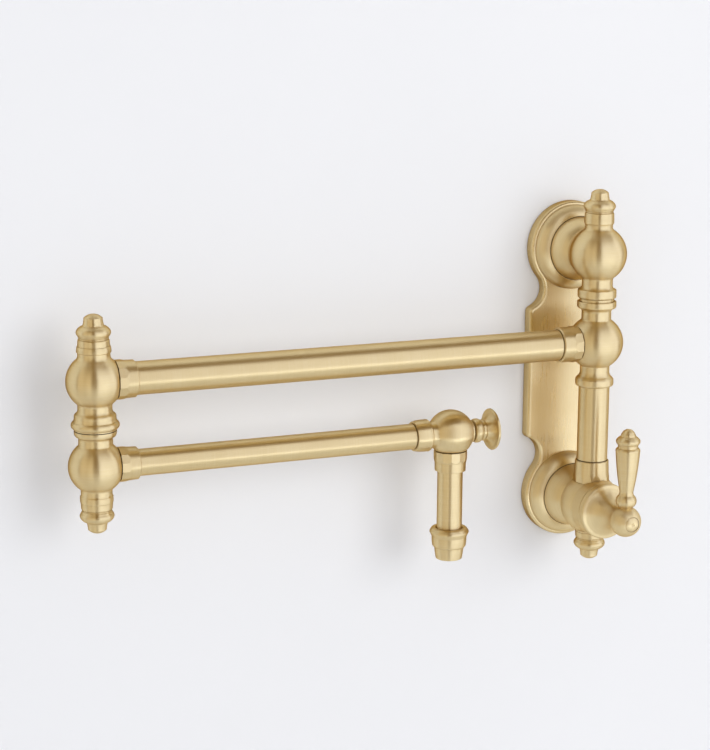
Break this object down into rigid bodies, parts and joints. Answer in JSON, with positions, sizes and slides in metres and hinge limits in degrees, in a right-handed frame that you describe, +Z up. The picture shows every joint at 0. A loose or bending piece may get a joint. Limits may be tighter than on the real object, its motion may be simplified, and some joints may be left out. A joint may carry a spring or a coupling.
{
  "type": "wall mounted pot filler",
  "caption": "Wall mounted pot filler with a double-jointed swinging arm, turned ball hubs, a lever valve on a shaped backplate and a spout with its own knob shut-off.",
  "frame": {"origin": "centre of the supply inlet on the wall plane", "axes": "+X to the right seen from the room, +Y into the wall, +Z up; both arms are folded to the left along -X"},
  "size_m": [0.4194, 0.1058, 0.2695],
  "materials": {
    "brass": "brushed satin",
    "steel": "plain",
    "ceramic": "lapped white ceramic",
    "rubber": "matt black",
    "plastic": "natural acetal"
  },
  "bodies": {
    "wall_unit": {"backplate": "brass", "upper_rosette": "brass", "lower_rosette": "brass", "wall_bracket": "steel", "upper_post": "brass", "post_set_screw": "steel", "pivot_pin": "steel", "column_finial": "brass", "valve_body": "brass", "ceramic_cartridge": "brass", "fixed_disc": "ceramic", "cartridge_seal": "rubber", "riser_collar": "brass", "riser_bush": "plastic", "valve_finial": "brass"},
    "long_arm": {"column_hub": "brass", "column_ferrule": "brass", "pivot_bush": "plastic", "riser_tube": "brass", "riser_spindle": "brass", "riser_o_rings": "rubber", "long_tube": "brass", "upper_elbow_ferrule": "brass", "upper_elbow_hub": "brass", "elbow_top_finial": "brass"},
    "short_arm": {"lower_elbow_hub": "brass", "elbow_spindle": "brass", "elbow_o_rings": "rubber", "elbow_clip": "steel", "elbow_thrust_washer": "plastic", "elbow_bottom_finial": "brass", "lower_elbow_ferrule": "brass", "short_tube": "brass", "spout_body": "brass", "spout_cartridge": "brass", "spout_fixed_disc": "ceramic", "spout_cartridge_seal": "rubber", "spout_collar": "brass", "spout_tube": "brass", "aerator_housing": "brass", "aerator_shell": "brass", "aerator_insert": "plastic", "aerator_mesh": "steel", "aerator_washer": "rubber"},
    "lever": {"lever_hub": "brass", "lever_handle": "brass", "valve_stem": "brass", "moving_disc": "ceramic", "lever_screw": "steel", "lever_cap": "brass"},
    "spout_knob": {"knob": "brass", "spout_stem": "brass", "spout_moving_disc": "ceramic", "knob_screw": "steel"}
  },
  "joints": [
    {"name": "column_swivel", "type": "hinge", "parent": "wall_unit", "child": "long_arm", "pos_m": [0, -0.045, 0.119], "axis": [0, 0, 1], "range_deg": [0, 180]},
    {"name": "elbow_swivel", "type": "hinge", "parent": "long_arm", "child": "short_arm", "pos_m": [-0.3675, -0.045, 0.0625], "axis": [0, 0, 1], "range_deg": [-180, 180]},
    {"name": "lever_turn", "type": "hinge", "parent": "wall_unit", "child": "lever", "pos_m": [0, -0.095, 0], "axis": [0, 1, 0], "range_deg": [0, 90]},
    {"name": "knob_turn", "type": "hinge", "parent": "short_arm", "child": "spout_knob", "pos_m": [-0.113, -0.045, 0.0625], "axis": [1, 0, 0], "range_deg": [0, 90]}
  ]
}
